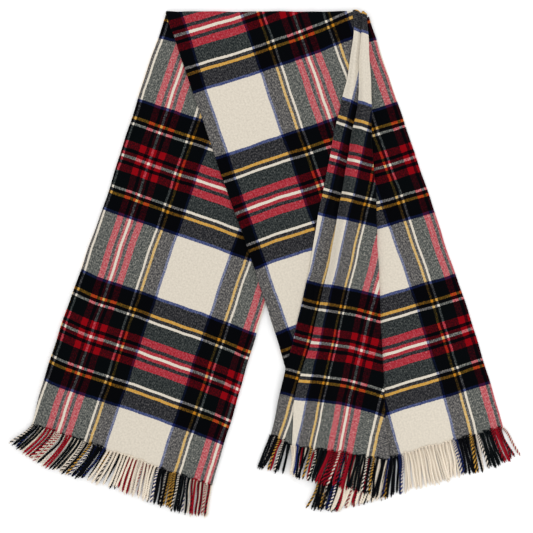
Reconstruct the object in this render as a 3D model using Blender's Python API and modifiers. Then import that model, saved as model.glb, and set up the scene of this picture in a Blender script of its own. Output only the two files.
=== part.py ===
"""A tartan blanket scarf, folded lengthwise, hung over a line and laid flat on a table.

One rectangle of brushed wool is folded in half lengthwise, then folded over a level line, so
that its two fringed ends point down and apart. The near end's upper layer is turned back over
a long crease as a flap, with a narrow pleat under it. Each stretch that shows is one solid.

Lengths are millimetres in the tables: +X right, +Y towards the top fold, +Z off the table.
"""

import math
import random

import bmesh
import bpy
import numpy as np

MM = 0.001

# Cloth
WALL = 2.0  # brushed wool, lying under its own weight
GAP = 0.3  # between neighbouring pieces
PITCH = WALL + GAP  # from one resting layer to the next
FOLD_LIFT = 1.5  # a soft fold stands higher than the flat cloth beside it
FOLD_LIFT_REACH = 26.0
FOLD_STEPS = 6  # facets round a fold's half circle
FOLD_LIP = 3.0  # how far a fold's wall runs back under itself before the next piece
FLAP_CLEARANCE = 0.5  # more room under the flap, whose facets cross those of the panel below
SELVEDGE_STEP = 8.0  # the tail's lower layer is a little narrower than the upper one
TAIL_LIFT_FADE = 90.0
PLEAT_RIDGE = 9.0  # how high the pleat's and the flap's ridges stand beside their valley
FLAP_RIDGE = 10.0
LEAST_FLAP_RIDGE = 1.5  # near the fringe, where the ridge has nearly run out
PLEAT_RIDGE_SLOPE = 0.32  # a narrow ridge is no higher than this share of its width
FLAP_RIDGE_SLOPE = 0.25
PLEAT_CREST = 0.5  # where the pleat is highest, and where its valley starts, in its width
PLEAT_FOOT = 0.85
FLAP_CREST = 16.0  # how far the flap's crest lies from its free edge
FLAP_RIDGE_WIDTH = 75.0
RIDGE_FADE_START = -260.0  # the ridges fade out towards the fringe, and at the top fold
RIDGE_FADE = 200.0
RIDGE_TOP_START = 380.0
RIDGE_TOP_SHARE = 0.4
SHOULDER_DROP = 9.0  # how far the top fold slopes down at its right corner
SHOULDER_START = 166.0
SHOULDER_WIDTH = 30.0
SHOULDER_FOOT = 400.0
SHOULDER_HEIGHT = 70.0

# The origin is the middle of the whole scarf's box, on the table
CENTRE_X = -0.5
CENTRE_Y = -0.3
TOP_FOLD_Y = 474.5  # where the layers start to roll over the top edge
ROLL_AXIS_Z = 1.5 * PITCH + 0.5 * WALL  # the middle of the top fold's four layers
LEAST_ROLL = 2.2  # the tightest that a wall's middle turns there

# Sections from the top fold down to the fringe, each as the places of its two edges
TAIL_SECTIONS = [  # left x, left y, right x, right y
    (-188, 474, 160, 470),
    (-240, 317, 107, 293),
    (-308, 106, 37, 51),
    (-348, -6, -1, -79),
    (-409, -184, -61, -285),
    (-442, -303, -101, -421),
]
FRONT_SECTIONS = [  # left x, left y, right x, right y
    (-188, 474, 197, 478),
    (-135, 321, 241, 337),
    (-93, 198, 279, 226),
    (-21, -6, 340, 44),
    (40, -200, 398, -129),
    (103, -405, 452, -310),
]
FLAP_SECTIONS = [  # pleat's edge x, y, flap's edge x, y, crease x, y
    (166, 474, 183, 474, 193, 474),
    (168, 436, 182, 436, 196, 436),
    (157, 362, 177, 360, 200, 356),
    (146, 314, 176, 308, 202, 300),
    (129, 236, 161, 227, 204, 214),
    (111, 145, 145, 135, 211, 116),
    (94, 54, 130, 46, 214, 25),
    (79, -34, 112, -41, 218, -62),
    (54, -139, 87, -145, 223, -176),
    (29, -243, 57, -250, 229, -284),
    (11, -325, 51, -343, 236, -372),
]
TAIL_ROWS = 11
FRONT_ROWS = 25
FLAP_ROWS = 26
TAIL_COLUMNS = 9
PANEL_COLUMNS = 10  # the front, from its left fold to the crease
LEG_COLUMNS = 7  # the front, from the crease to its right edge
PLEAT_SHARES = [0.0, 0.25, 0.5, 0.675, 0.85, 1.0]  # its columns, in the width that shows
FLAP_COLUMNS = 11
HIDDEN_COLUMNS = 3  # of the flap's columns, those that the pleat runs under
FLAP_ROLL = math.radians(110)  # how far the flap's gathered top turns over the top edge

# Past an edge, the cloth on top settles to the next height over these distances
STEP_START = 15.0
TAIL_STEP = 75.0
FRONT_STEP = 50.0
PLEAT_STEP_START = 12.0
PLEAT_STEP = 50.0

# Fringe: the tips of evenly spaced strands, from left to right (x, y)
TAIL_TIPS = [
    (-484, -342), (-448, -370), (-405, -391), (-357, -407), (-298, -424),
    (-245, -443), (-199, -460), (-154, -476), (-107, -483),
]
FRONT_TIPS = [
    (92, -464), (135, -470), (178, -458), (232, -445), (288, -428),
    (338, -415), (378, -402), (425, -392), (484, -366),
]
PANEL_TIPS = [(92, -464), (128, -471), (172, -459), (214, -449)]
FLAP_TIPS = [(50, -403), (78, -410), (125, -421), (177, -434), (224, -446)]
PLEAT_TIPS = [(-17, -386), (9, -394), (35, -402)]
STRAND_PITCH = 6.8
EVEN_PLACE = 0.5  # where a strand stands in its pitch
UPPER_PLACE = 0.27  # and where two layers' strands lie side by side
LOWER_PLACE = 0.73
STRAND_WIDTH = 3.2
STRAND_TIP_WIDTH = 2.8
STRAND_SEGMENTS = 3
STRAND_CLEARANCE = 0.2  # a strand's underside over what its layer lies on
STRAND_STIFF = 0.45  # the share of a strand that leaves the cloth straight
STRAND_STRAY = 0.7
STRIP_DEPTH = 5.0  # the backing strip, parted from the cloth's end

WOOL_ROUGHNESS = 0.95
WOOL_COLOURS = {
    "cream": (0.68, 0.62, 0.52, 1.0),
    "red": (0.36, 0.02, 0.03, 1.0),
    "black": (0.015, 0.017, 0.02, 1.0),
    "grey": (0.13, 0.13, 0.13, 1.0),
    "blue": (0.02, 0.035, 0.16, 1.0),
    "gold": (0.55, 0.33, 0.09, 1.0),
}


# ------------------------------------------------------------ curves and heights


def smooth_point(points, position):
    """A point on the smooth curve through points, where position 1.5 is midway from 1 to 2."""
    spots = [np.array(point, dtype=float) for point in points]
    index = min(int(position), len(spots) - 2)
    t = position - index
    start = spots[index]
    end = spots[index + 1]
    before = spots[index - 1] if index > 0 else 2 * start - end
    after = spots[index + 2] if index + 2 < len(spots) else 2 * end - start
    bend = (2 * before - 5 * start + 4 * end - after) * t * t
    twist = (3 * start - before - 3 * end + after) * t**3
    return 0.5 * (2 * start + (end - before) * t + bend + twist)


def column_pair(sections, column):
    """One edge out of a table of sections, as its own list of points."""
    return [section[column : column + 2] for section in sections]


def positions(points, count):
    """Evenly spread positions along a curve's points."""
    return [(len(points) - 1) * step / (count - 1) for step in range(count)]


def shares(count):
    return [step / (count - 1) for step in range(count)]


def unit(vector):
    return vector / np.linalg.norm(vector)


def smooth_step(value):
    value = min(max(value, 0.0), 1.0)
    return value * value * (3 - 2 * value)


def distance_right(points, x, y):
    """How far a place lies to the right of the straight line between an edge's ends."""
    top = np.array(points[0], dtype=float)
    run = unit(np.array(points[-1], dtype=float) - top)
    return -run[1] * (x - top[0]) + run[0] * (y - top[1])


def above_tail(x, y):
    """The height of cloth that lies over the tail's two layers, and on the table past them."""
    past = distance_right(TAIL_RIGHT, x, y) - STEP_START
    return 2 * PITCH * (1 - smooth_step(past / TAIL_STEP))


def above_front(x, y):
    """The height of cloth that lies over the front's two layers, and past their left edge."""
    inside = distance_right(FRONT_LEFT, x, y)
    fold = FOLD_LIFT * (1 - smooth_step((inside - STEP_START) / FOLD_LIFT_REACH))
    rise = 2 * PITCH + FLAP_CLEARANCE + fold
    return above_tail(x, y) + rise * (1 - smooth_step((-inside - STEP_START) / FRONT_STEP))


def fold_lift(distance):
    return FOLD_LIFT * (1 - smooth_step(distance / FOLD_LIFT_REACH))


def ridge_fade(y):
    top = smooth_step((y - RIDGE_TOP_START) / (TOP_FOLD_Y - RIDGE_TOP_START))
    return smooth_step((y - RIDGE_FADE_START) / RIDGE_FADE) * (1 - (1 - RIDGE_TOP_SHARE) * top)


def ridge(place, crest, foot):
    """A ridge's share of its height: none at the edge, all at the crest, none at the foot."""
    return smooth_step(place / crest) * (1 - smooth_step((place - crest) / (foot - crest)))


def pleat_ridge(share, width, y):
    """The rise of the pleat, which falls steeply into the valley beside the flap's edge."""
    height = min(PLEAT_RIDGE, PLEAT_RIDGE_SLOPE * width) * ridge_fade(y)
    return height * ridge(share, PLEAT_CREST, PLEAT_FOOT)


def flap_ridge(distance, width, y):
    """The rise of the flap, from its free edge in the valley to a crest close beside it."""
    reach = min(width, FLAP_RIDGE_WIDTH)
    full = LEAST_FLAP_RIDGE + (FLAP_RIDGE - LEAST_FLAP_RIDGE) * ridge_fade(y)
    height = min(full, FLAP_RIDGE_SLOPE * reach)
    return height * ridge(distance, min(FLAP_CREST, reach / 2), reach)


def shoulder(x, y):
    """How much lower a place lies where the top fold slopes down to the right."""
    share = smooth_step((x - SHOULDER_START) / SHOULDER_WIDTH)
    return SHOULDER_DROP * share * smooth_step((y - SHOULDER_FOOT) / SHOULDER_HEIGHT)


# ------------------------------------------------------------ mesh building


def wool(colour):
    made = bpy.data.materials.new("wool_" + colour)
    made.use_nodes = True
    shader = made.node_tree.nodes["Principled BSDF"]
    shader.inputs["Base Color"].default_value = WOOL_COLOURS[colour]
    shader.inputs["Roughness"].default_value = WOOL_ROUGHNESS
    shader.inputs["Metallic"].default_value = 0.0
    return made


def new_vertex(mesh, x, y, z):
    y -= shoulder(x, y)
    return mesh.verts.new(((x - CENTRE_X) * MM, (y - CENTRE_Y) * MM, z * MM))


def new_object(name, sheet, made_of):
    mesh = bpy.data.meshes.new(name)
    sheet.to_mesh(mesh)
    sheet.free()
    mesh.materials.append(made_of)
    made = bpy.data.objects.new(name, mesh)
    scarf.objects.link(made)
    return made


def cloth_wall(name, rows, made_of):
    """A wall of cloth round a grid of points in its middle, one row for each section."""
    sheet = bmesh.new()
    grid = [[new_vertex(sheet, *spot) for spot in row] for row in rows]
    for upper, lower in zip(grid, grid[1:]):
        for left in range(len(upper) - 1):
            sheet.faces.new((upper[left], lower[left], lower[left + 1], upper[left + 1]))
    made = new_object(name, sheet, made_of)
    made.data.shade_smooth()
    wall = made.modifiers.new("wall", "SOLIDIFY")
    wall.thickness = WALL * MM
    wall.offset = 0.0
    wall.use_even_offset = True


def fold_round(inner, out, top, drop):
    """A fold's points, from the flat's end, round its half circle, to the lip under it."""
    radius = drop / 2
    path = []
    for step in range(1, FOLD_STEPS + 1):
        angle = math.pi * step / FOLD_STEPS
        spot = inner + out * radius * math.sin(angle)
        path.append((spot[0], spot[1], top - radius * (1 - math.cos(angle))))
    lip = inner - out * FOLD_LIP
    path.append((lip[0], lip[1], top - drop))
    return path


def fold_inset(drop):
    """How far a fold's flat ends inside its outline."""
    return drop / 2 + WALL / 2


def rolled(row, last_angle, steps):
    """A section's copies over the top fold, from the far end back to the section."""
    rows = []
    for step in range(steps, 0, -1):
        angle = last_angle * step / steps
        turned = []
        for x, _, z in row:
            reach = max(z - ROLL_AXIS_Z, LEAST_ROLL)
            height = reach if angle < math.pi / 2 else min(reach, ROLL_AXIS_Z - WALL / 2)
            y = TOP_FOLD_Y + reach * math.sin(angle)
            turned.append((x, y, ROLL_AXIS_Z + height * math.cos(angle)))
        rows.append(turned)
    rows.append([(x, TOP_FOLD_Y, z) for x, _, z in row])
    return rows


# ------------------------------------------------------------ panels


def build_tail():
    """The far end. Its upper layer ends at the left in the lengthwise fold."""
    upper_rows = []
    lower_rows = []
    for position in positions(TAIL_LEFT, TAIL_ROWS):
        left = smooth_point(TAIL_LEFT, position)
        right = smooth_point(TAIL_RIGHT, position)
        out = unit(left - right)
        # The lift fades towards the top fold, where the front lies on this layer
        lift = FOLD_LIFT * smooth_step((TOP_FOLD_Y - left[1]) / TAIL_LIFT_FADE - 0.5)
        drop = PITCH + lift
        inner = left - out * fold_inset(drop)
        upper = fold_round(inner, out, PITCH + WALL / 2 + lift, drop)[::-1]
        width = np.linalg.norm(right - inner)
        for share in shares(TAIL_COLUMNS):
            spot = inner + (right - inner) * share
            rise = lift / FOLD_LIFT * fold_lift(share * width)
            upper.append((spot[0], spot[1], PITCH + WALL / 2 + rise))
        upper_rows.append(upper)
        across = unit(right - inner)
        start = inner - out * FOLD_LIP + across * GAP
        end = right - across * SELVEDGE_STEP
        lower_rows.append([(*(start + (end - start) * share), WALL / 2) for share in shares(3)])
    cloth_wall("tail_upper_layer", upper_rows, wool("grey"))
    cloth_wall("tail_lower_layer", lower_rows, wool("black"))


def crease_crossing(left, right):
    """Where a straight section of the front meets the crease, as a position on the crease."""
    low = 0.0
    high = len(CREASE) - 1.0
    for _ in range(30):
        middle = (low + high) / 2
        x, y = smooth_point(CREASE, middle)
        section_y = left[1] + (right[1] - left[1]) * (x - left[0]) / (right[0] - left[0])
        if y > section_y:
            low = middle
        else:
            high = middle
    return (low + high) / 2


def above_pleat(place, pleat_end):
    """How much higher the flap lies over the pleat, down to nothing past the pleat's end."""
    past = np.linalg.norm(place - pleat_end) if place[0] > pleat_end[0] else 0.0
    return PITCH * (1 - smooth_step((past - PLEAT_STEP_START) / PLEAT_STEP))


def flap_height(place, pleat_end):
    return above_front(*place) + above_pleat(place, pleat_end) + WALL / 2


def flap_section(position):
    """A section's places: its pleat's and flap's edges, the pleat's hidden end, the crease."""
    edge = smooth_point(PLEAT_EDGE, position)
    flap_edge = smooth_point(FLAP_EDGE, position)
    crease = smooth_point(CREASE, position)
    out = unit(crease - flap_edge)
    hidden_end = flap_edge + (crease - flap_edge) * HIDDEN_COLUMNS / (FLAP_COLUMNS - 1)
    top = flap_height(crease, hidden_end) + FOLD_LIFT
    drop = top - (above_tail(*crease) + PITCH + FLAP_CLEARANCE + WALL / 2)
    inner = crease - out * fold_inset(drop)
    return edge, flap_edge, hidden_end, inner, out, top, drop


def build_front():
    """The near end's two layers: the leg, and the long panel that rolls over the top fold."""
    leg_rows = []
    panel_rows = []
    for position in positions(FRONT_LEFT, FRONT_ROWS):
        left = smooth_point(FRONT_LEFT, position)
        right = smooth_point(FRONT_RIGHT, position)
        out = unit(left - right)
        drop = PITCH + FOLD_LIFT
        inner = left - out * fold_inset(drop)
        across = unit(right - inner)
        inner_crease = flap_section(crease_crossing(left, right))[3]
        panel_end = inner_crease - across * (FOLD_LIP + GAP)
        start = inner - out * FOLD_LIP + across * GAP
        flat = [start + (panel_end - start) * share for share in shares(PANEL_COLUMNS)]
        beyond = [panel_end + (right - panel_end) * share for share in shares(LEG_COLUMNS)[1:]]
        leg_rows.append([(x, y, above_tail(x, y) + WALL / 2) for x, y in flat + beyond])
        level = above_tail(*inner) + PITCH + WALL / 2
        panel = fold_round(inner, out, level + FOLD_LIFT, drop)[::-1]
        for x, y in [inner] + flat:
            lift = fold_lift(math.dist((x, y), inner))
            panel.append((x, y, above_tail(x, y) + PITCH + WALL / 2 + lift))
        panel_rows.append(panel)
    panel_rows = rolled(panel_rows[0], math.pi, FOLD_STEPS) + panel_rows[1:]
    cloth_wall("front_lower_layer", leg_rows, wool("cream"))
    cloth_wall("front_upper_layer", panel_rows, wool("red"))


def build_flap():
    """The flap, which ends at the crease in a fold, and the pleat that shows beside it."""
    flap_rows = []
    pleat_rows = []
    for position in positions(CREASE, FLAP_ROWS):
        edge, flap_edge, hidden_end, inner, out, top, drop = flap_section(position)
        flap = []
        width = math.dist(flap_edge, inner)
        for share in shares(FLAP_COLUMNS):
            place = flap_edge + (inner - flap_edge) * share
            height = flap_height(place, hidden_end) + fold_lift((1 - share) * width)
            height += flap_ridge(share * width, width, place[1])
            flap.append((place[0], place[1], height))
        drop += flap[-1][2] - top
        flap_rows.append(flap + fold_round(inner, out, flap[-1][2], drop))
        pleat = []
        for share in PLEAT_SHARES:
            x, y = edge + (flap_edge - edge) * share
            rise = pleat_ridge(share, math.dist(edge, flap_edge), y)
            pleat.append((x, y, above_front(x, y) + WALL / 2 + rise))
        for x, y, _ in flap[1 : HIDDEN_COLUMNS + 1]:
            pleat.append((x, y, above_front(x, y) + WALL / 2))
        pleat_rows.append(pleat)
    flap_rows = rolled(flap_rows[0], FLAP_ROLL, 4) + flap_rows[1:]
    pleat_rows = rolled(pleat_rows[0], FLAP_ROLL, 4) + pleat_rows[1:]
    cloth_wall("flap", flap_rows, wool("blue"))
    cloth_wall("pleat", pleat_rows, wool("gold"))


# ------------------------------------------------------------ fringe


def on_table(x, y):
    return 0.0


def first_layer(place):
    return 0.0


def second_layer(place):
    return PITCH


def strand_sections(root, away, tip, along, height, stray):
    """A strand's four-sided sections, from its root on the strip to its tip."""
    reach = np.linalg.norm(tip - root)
    control = root + away * reach * STRAND_STIFF
    sections = []
    for share in shares(STRAND_SEGMENTS + 1)[1:]:
        spot = root * (1 - share) ** 2 + control * 2 * share * (1 - share) + tip * share**2
        run = unit((control - root) * (1 - share) + (tip - control) * share)
        side = np.array((-run[1], run[0]))
        side *= 1 if side @ along > 0 else -1
        half = (STRAND_WIDTH + (STRAND_TIP_WIDTH - STRAND_WIDTH) * share) / 2
        spot = spot + side * stray * share**2
        ends = (spot - side * half, spot + side * half)
        low = height(*spot) + STRAND_CLEARANCE
        high = low + WALL
        sections.append([(*ends[0], low), (*ends[1], low), (*ends[1], high), (*ends[0], high)])
    return sections


def build_fringe(name, roots, tips, colour, ground, layer, place):
    """Strands on a narrow strip along a cloth's end, as high as its layer over the ground."""
    spread = random.Random(name)
    start = np.array(roots[0], dtype=float)
    end = np.array(roots[-1], dtype=float)
    along = unit(end - start)
    away = np.array((along[1], -along[0]))
    count = max(int(round(math.dist(start, end) / STRAND_PITCH)), 2)
    pitch = math.dist(start, end) / count
    sheet = bmesh.new()

    def corner(distance, depth, rise):
        spot = start + along * distance + away * depth
        base = ground(*spot) + layer(spot)
        return new_vertex(sheet, spot[0], spot[1], base + rise)

    back = []
    front = []
    stations = [0.0]
    for index in range(count):
        middle = (index + place) * pitch
        stations += [middle - STRAND_WIDTH / 2, middle + STRAND_WIDTH / 2]
    stations.append(count * pitch)
    for distance in stations:
        back.append((corner(distance, GAP, 0.0), corner(distance, GAP, WALL)))
        front.append((
            corner(distance, GAP + STRIP_DEPTH, 0.0),
            corner(distance, GAP + STRIP_DEPTH, WALL),
        ))
    for index in range(len(stations) - 1):
        (b0, t0), (b1, t1) = back[index], back[index + 1]
        (f0, u0), (f1, u1) = front[index], front[index + 1]
        sheet.faces.new((b0, b1, f1, f0))
        sheet.faces.new((t0, t1, u1, u0))
        sheet.faces.new((b0, b1, t1, t0))
        if index % 2 == 0:
            sheet.faces.new((f0, f1, u1, u0))
            continue
        share = (index // 2 + place) / count
        root = start + along * (share * count * pitch) + away * (GAP + STRIP_DEPTH)
        tip = smooth_point(tips, share * (len(tips) - 1))
        tip = tip + unit(tip - root) * spread.uniform(-3.0, 1.0)
        over = layer(root)
        stray = spread.uniform(-STRAND_STRAY, STRAND_STRAY)
        ring = [f0, f1, u1, u0]
        height = lambda x, y, over=over: ground(x, y) + over
        for section in strand_sections(root, away, tip, along, height, stray):
            new_ring = [new_vertex(sheet, *spot) for spot in section]
            for side in range(4):
                following = (side + 1) % 4
                sheet.faces.new((ring[side], ring[following], new_ring[following], new_ring[side]))
            ring = new_ring
        sheet.faces.new(ring)
    for pair, other in ((back[0], front[0]), (back[-1], front[-1])):
        sheet.faces.new((pair[0], other[0], other[1], pair[1]))
    bmesh.ops.recalc_face_normals(sheet, faces=sheet.faces)
    new_object(name, sheet, wool(colour))


def build_fringes():
    tail_ends = (TAIL_LEFT[-1], TAIL_RIGHT[-1])
    front_ends = (FRONT_LEFT[-1], FRONT_RIGHT[-1])
    panel_ends = (FRONT_LEFT[-1], CREASE[-1])
    flap_ends = (FLAP_EDGE[-1], CREASE[-1])
    pleat_ends = (PLEAT_EDGE[-1], FLAP_EDGE[-1])
    pleat_end = flap_section(len(CREASE) - 1)[2]

    def flap_layer(place):
        return above_pleat(place, pleat_end)

    fringes = [
        ("tail_lower", tail_ends, TAIL_TIPS, "black", on_table, first_layer, LOWER_PLACE),
        ("tail_upper", tail_ends, TAIL_TIPS, "red", on_table, second_layer, UPPER_PLACE),
        ("front_lower", front_ends, FRONT_TIPS, "cream", on_table, first_layer, LOWER_PLACE),
        ("front_upper", panel_ends, PANEL_TIPS, "black", on_table, second_layer, UPPER_PLACE),
        ("flap", flap_ends, FLAP_TIPS, "red", above_front, flap_layer, EVEN_PLACE),
        ("pleat", pleat_ends, PLEAT_TIPS, "blue", above_front, first_layer, EVEN_PLACE),
    ]
    for name, *makings in fringes:
        build_fringe("fringe_" + name, *makings)


for old in list(bpy.data.objects):
    bpy.data.objects.remove(old, do_unlink=True)
scarf = bpy.data.collections.new("blanket_scarf")
bpy.context.scene.collection.children.link(scarf)
TAIL_LEFT = column_pair(TAIL_SECTIONS, 0)
TAIL_RIGHT = column_pair(TAIL_SECTIONS, 2)
FRONT_LEFT = column_pair(FRONT_SECTIONS, 0)
FRONT_RIGHT = column_pair(FRONT_SECTIONS, 2)
PLEAT_EDGE = column_pair(FLAP_SECTIONS, 0)
FLAP_EDGE = column_pair(FLAP_SECTIONS, 2)
CREASE = column_pair(FLAP_SECTIONS, 4)
build_tail()
build_front()
build_flap()
build_fringes()
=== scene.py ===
"""The looks of a tartan blanket scarf, folded lengthwise and laid flat in two crossing ends.

Lengths are millimetres in the tables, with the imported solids' own places: +X right,
+Y towards the top fold, +Z off the table. The cloth's own coordinates run across it (warp
stripes) and along it (weft stripes), and each layer has its own lay on the table.
"""

import math
import random

import bpy
import numpy as np
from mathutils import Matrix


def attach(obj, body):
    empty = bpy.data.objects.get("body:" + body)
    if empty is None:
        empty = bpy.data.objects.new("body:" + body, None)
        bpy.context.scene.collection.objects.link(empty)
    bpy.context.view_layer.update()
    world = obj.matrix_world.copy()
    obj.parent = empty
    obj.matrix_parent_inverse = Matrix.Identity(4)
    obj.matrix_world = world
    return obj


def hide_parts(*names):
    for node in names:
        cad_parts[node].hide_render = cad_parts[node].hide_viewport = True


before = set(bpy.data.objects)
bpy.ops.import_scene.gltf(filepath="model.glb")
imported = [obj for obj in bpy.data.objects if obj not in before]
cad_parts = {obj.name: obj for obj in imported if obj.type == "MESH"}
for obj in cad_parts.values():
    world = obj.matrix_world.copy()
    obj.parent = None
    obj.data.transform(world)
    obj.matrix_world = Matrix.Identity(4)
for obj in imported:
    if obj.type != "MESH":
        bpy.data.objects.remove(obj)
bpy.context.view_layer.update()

MM = 0.001

# Cloth, as the solids have it
WALL = 2.0
GAP = 0.3
PITCH = WALL + GAP
CENTRE = np.array((-0.5, -0.3))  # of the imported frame, on the sections' table
SELVEDGE_STEP = 8.0  # how far the tail's lower layer stops inside the upper one

# Lengthwise folds: how much they puff up, over what width, and the lip that they end in
FOLD_LIFT = 1.5
FOLD_LIFT_REACH = 26.0
FOLD_LIP = 3.0
FLAP_CLEARANCE = 0.5  # the flap and pleat have this much more room under them
TAIL_LIFT_START = 45.0  # the way down from the top fold in which the tail's fold puffs up
TAIL_LIFT_FADE = 90.0

# The top fold's roll: where it is, its least radius, and how far the flap goes round it
TOP_FOLD_Y = 474.5
ROLL_AXIS_Z = 1.5 * PITCH + 0.5 * WALL
LEAST_ROLL = 2.2
FLAP_ROLL = math.radians(110)

# How a layer comes down beside one that it lies on: where that starts and how wide it is
STEP_START = 15.0
TAIL_STEP = 75.0
FRONT_STEP = 50.0
PLEAT_STEP_START = 12.0
PLEAT_STEP = 50.0
HIDDEN_SHARE = 3 / 10  # of the flap's width, what the pleat runs under

# The pleat's and flap's long ridges: heights, steepest slopes, crests and feet
PLEAT_RIDGE = 9.0
FLAP_RIDGE = 10.0
LEAST_FLAP_RIDGE = 1.5
PLEAT_RIDGE_SLOPE = 0.32
FLAP_RIDGE_SLOPE = 0.25
PLEAT_CREST = 0.5  # shares of the pleat's width
PLEAT_FOOT = 0.85
FLAP_CREST = 16.0
FLAP_RIDGE_WIDTH = 75.0
RIDGE_FADE_START = -260.0  # they fade towards the fringe, and partly towards the top fold
RIDGE_FADE = 200.0
RIDGE_TOP_START = 380.0
RIDGE_TOP_SHARE = 0.4

# The slope at the top fold's right end: how far it falls, and from where to where in x and y
SHOULDER_DROP = 9.0
SHOULDER_START = 166.0
SHOULDER_WIDTH = 30.0
SHOULDER_FOOT = 400.0
SHOULDER_HEIGHT = 70.0

# Sections from the top fold down to the fringe, each as the places of its two edges
TAIL_SECTIONS = [  # left x, left y, right x, right y
    (-188, 474, 160, 470),
    (-240, 317, 107, 293),
    (-308, 106, 37, 51),
    (-348, -6, -1, -79),
    (-409, -184, -61, -285),
    (-442, -303, -101, -421),
]
FRONT_SECTIONS = [  # left x, left y, right x, right y
    (-188, 474, 197, 478),
    (-135, 321, 241, 337),
    (-93, 198, 279, 226),
    (-21, -6, 340, 44),
    (40, -200, 398, -129),
    (103, -405, 452, -310),
]
FLAP_SECTIONS = [  # pleat's edge x, y, flap's edge x, y, crease x, y
    (166, 474, 183, 474, 193, 474),
    (168, 436, 182, 436, 196, 436),
    (157, 362, 177, 360, 200, 356),
    (146, 314, 176, 308, 202, 300),
    (129, 236, 161, 227, 204, 214),
    (111, 145, 145, 135, 211, 116),
    (94, 54, 130, 46, 214, 25),
    (79, -34, 112, -41, 218, -62),
    (54, -139, 87, -145, 223, -176),
    (29, -243, 57, -250, 229, -284),
    (11, -325, 51, -343, 236, -372),
]

# Fineness of the shells
ROW_STEP = 4.2
COLUMN_STEP = 4.2
RIDGE_COLUMN_STEP = 2.8
HIDDEN_COLUMN_STEP = 14.0
FOLD_STEPS = 10
ROLL_STEPS = 14
CREASE_STEPS = 1200  # places tried on the crease, to find where a section crosses it
EDGE_ROUND = 0.6
EDGE_ROUND_STEPS = 2
SHARP_ANGLE = math.radians(60)  # edges sharper than this are rounded

# About how wide the layers are, for their columns
LEG_WIDTH = 350
PANEL_WIDTH = 300
BEYOND_WIDTH = 210  # the leg's part to the right of the crease
FLAP_WIDTH = 170
PLEAT_WIDTH = 38
HIDDEN_PLEAT_WIDTH = 45

# Soft unevenness that all the layers share, as waves: each one's size, start, lengths along
# x and y, and the size and length of its bend along y
SWELL_SIZE = 0.85
SWELL_WAVES = [
    (0.42, 0.4, 41, math.inf, 0.6, 97),
    (0.30, 1.1, -120, 63, 0.0, 1),
    (0.28, 0.0, 23, 23 / 0.35, 1.7, 140),
]
SWAY_ACROSS_WAVES = [(0.55, 0.0, 90, 27, 0.0, 1), (0.35, 2.0, math.inf, 11.5, 0.0, 1)]
SWAY_DOWN_WAVES = [(0.45, 0.7, 21, math.inf, 0.0, 1), (0.3, 0.0, 9.3, -60, 0.0, 1)]

# Fringe: the tips of evenly spaced strands, from left to right (x, y)
TAIL_TIPS = [
    (-484, -342), (-448, -370), (-405, -391), (-357, -407), (-298, -424),
    (-245, -443), (-199, -460), (-154, -476), (-107, -483),
]
FRONT_TIPS = [
    (92, -464), (135, -470), (178, -458), (232, -445), (288, -428),
    (338, -415), (378, -402), (425, -392), (484, -366),
]
PANEL_TIPS = [(92, -464), (128, -471), (172, -459), (214, -449)]
FLAP_TIPS = [(50, -403), (78, -410), (125, -421), (177, -434), (224, -446)]
PLEAT_TIPS = [(-17, -386), (12, -395), (44, -404)]
STRAND_PITCH = 6.8
EVEN_PLACE = 0.5  # where a strand stands in its pitch
UPPER_PLACE = 0.27  # and where two layers' strands lie side by side
LOWER_PLACE = 0.73
ROW_SHIFT = 0.5  # how far the lower row stands beside the upper one, in pitches
STRAND_STIFF = 0.2  # the share of a strand that leaves the cloth straight
STRAND_CLEARANCE = 0.9  # how far the cords stay above what they lie on
SEED_REACH = 6.0  # the random starts of waves are between 0 and this
BUNCHES = [(2.4, 7.9, 1.0), (1.8, 4.3, 2.3), (1.2, 19.0, 5.1)]  # size, length, use of the seed
# Each fringe's rows, how far its cords stray along the cloth's end, how far the lower row's
# colours may come from, and the share of the lower row that is left out
FRINGE_HABITS = {
    "fringe_tail_lower": (1, 1.2, 0.0, 0.0),
    "fringe_tail_upper": (1, 1.2, 0.0, 0.0),
    "fringe_front_lower": (2, 1.6, 1.5, 0.0),
    "fringe_front_upper": (1, 2.4, 0.0, 0.0),
    "fringe_pleat": (2, 2.4, 38.0, 0.05),
    "fringe_flap": (2, 2.8, 38.0, 0.15),
}
# Cords that lie apart at a fringe's side: which one, how far its tip is moved, its bow and yarns
LOOSE_CORDS = {
    "fringe_front_upper": (0, -17.0, 0.0, ("gold", "black")),
    "fringe_front_lower": (-1, 5.0, 5.0, ("red", "white")),
}
KINKED = 0.22  # the share of the flap's and pleat's cords that are kinked, and how far
KINK = 5.5
BOW = 1.5  # how far the other cords bend to a side, and how far they all wave
WIGGLE = 1.2
WIGGLE_TURN = 2.6 * math.pi
ROOT_REACH = (0.0, 5.0)  # how far a cord's yarns start inside the cloth's edge
TIP_REACH = (-5.0, 2.0)  # and how far past or short of its place its tip ends
TIP_TAPER = 3.0  # the length in which a tip gets thinner, and the least that is left of it
TIP_SIZE = 0.4
ROOT_RISE = 0.6  # the upper row's roots lie on the cloth's end, and its cords on the lower row
UPPER_RISE = 1.0
YARN_SHADES = (0.9, 1.1)  # how the plies' tones vary, and the painted shade that darkens the lower row
UNDER_ROW_PAINTED_SHADE = 0.92
UPPER_MIX = 1.2  # how far the upper row's colours stray, and each of its two plies
PLY_MIX = 1.0
PLY_REACH = 3.4  # how far apart on the cloth the two plies of a cord get their colours
YARN_WIDTH = STRAND_PITCH / 4  # a ply's half width and offset at the cloth
SPREAD_DEPTH = 7.0  # how far from the cloth the plies have drawn together
PLY_RADIUS = 1.5  # there, half a ply's width, its offset from the middle, and its flatness
PLY_OFFSET = 1.1
PLY_FLATTEN = 0.75
PLY_SIDES = 6
RING = np.arange(PLY_SIDES) * 2 * math.pi / PLY_SIDES
PLY_PAINTED_SHADE = 1.4  # the powers of a ply's colour: painted shade underneath, and painted light on its top
PLY_PAINTED_LIGHT = 0.8
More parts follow.
